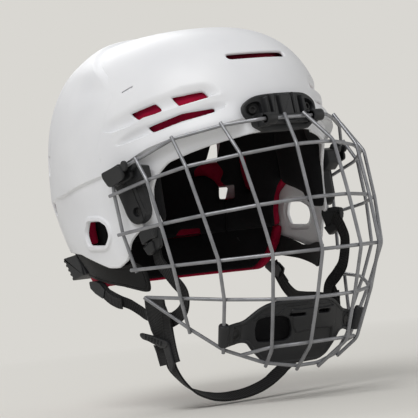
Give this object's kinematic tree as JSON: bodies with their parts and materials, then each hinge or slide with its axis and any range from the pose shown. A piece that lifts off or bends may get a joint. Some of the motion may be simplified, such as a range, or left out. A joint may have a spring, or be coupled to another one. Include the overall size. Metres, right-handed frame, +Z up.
{
  "type": "ice hockey helmet with face cage",
  "caption": "White two-piece ice hockey helmet with a grey wire face cage, black clips, a chin cup, padded liner and a hanging chin strap.",
  "frame": {"origin": "centre of the head ring inside the helmet, level with the lower forehead", "axes": "+Z up, -Y out of the face, +X towards the wearer's left"},
  "size_m": [0.2172, 0.3256, 0.2911],
  "materials": {
    "shell_white": "satin moulded white plastic",
    "foam_red": "matt red closed-cell foam",
    "pad_black": "soft matt black comfort foam",
    "wire_grey": "satin grey coated steel wire",
    "hardware_black": "fine-grained black moulded plastic",
    "screw_dark": "black coated steel",
    "webbing_black": "woven black webbing",
    "cup_grey": "satin dark grey moulded plastic",
    "cup_pad_dark": "matt black soft pad"
  },
  "bodies": {
    "helmet": {"front_shell": "shell_white", "front_foam": "foam_red", "brow_pad": "pad_black", "crown_pad": "pad_black", "temple_pad_left": "pad_black", "temple_pad_right": "pad_black", "mount_plate": "hardware_black", "mount_clips": "hardware_black", "side_plate_left": "hardware_black", "side_plate_right": "hardware_black", "side_latch_left": "hardware_black", "side_latch_right": "hardware_black", "strap_anchor_left": "hardware_black", "strap_anchor_right": "hardware_black", "strap_slider_left": "hardware_black", "strap_slider_right": "hardware_black", "mount_screws": "screw_dark", "side_screws": "screw_dark", "strap_pins": "screw_dark", "front_strap_left": "webbing_black", "front_strap_right": "webbing_black", "rear_strap_left": "webbing_black", "rear_strap_right": "webbing_black", "strap_tab_left": "webbing_black", "strap_tab_right": "webbing_black"},
    "rear": {"rear_shell": "shell_white", "rear_foam": "foam_red", "nape_pad": "pad_black", "neck_liner": "foam_red", "neck_pad": "pad_black", "side_pad_left": "pad_black", "side_pad_right": "pad_black", "neck_band_left": "webbing_black", "neck_band_right": "webbing_black", "nape_block_left": "hardware_black", "nape_block_right": "hardware_black"},
    "cage": {"cage_frame_wire": "wire_grey", "cage_level_wire_1": "wire_grey", "cage_level_wire_2": "wire_grey", "cage_level_wire_3": "wire_grey", "cage_chin_wire": "wire_grey", "cage_short_wire": "wire_grey", "cage_rim_wire": "wire_grey", "cage_upright_1_left": "wire_grey", "cage_upright_1_right": "wire_grey", "cage_upright_2_left": "wire_grey", "cage_upright_2_right": "wire_grey", "cage_upright_3_left": "wire_grey", "cage_upright_3_right": "wire_grey", "cage_upright_4_left": "wire_grey", "cage_upright_4_right": "wire_grey", "chin_cup": "cup_grey", "cup_pad": "cup_pad_dark", "cup_grips": "cup_grey", "cup_snaps": "screw_dark"},
    "strap": {"chin_strap": "webbing_black", "chin_buckle": "hardware_black"}
  },
  "joints": [
    {"name": "cage_lift", "type": "hinge", "parent": "helmet", "child": "cage", "pos_m": [0, -0.1242, 0.0195], "axis": [-1, 0, 0], "range_deg": [0, 97]},
    {"name": "length_adjust", "type": "slide", "parent": "helmet", "child": "rear", "axis": [0, 1, 0], "range_m": [0, 0.012]},
    {"name": "strap_swing", "type": "hinge", "parent": "helmet", "child": "strap", "pos_m": [0, -0.046, -0.121], "axis": [1, 0, 0], "range_deg": [-20, 0]}
  ]
}
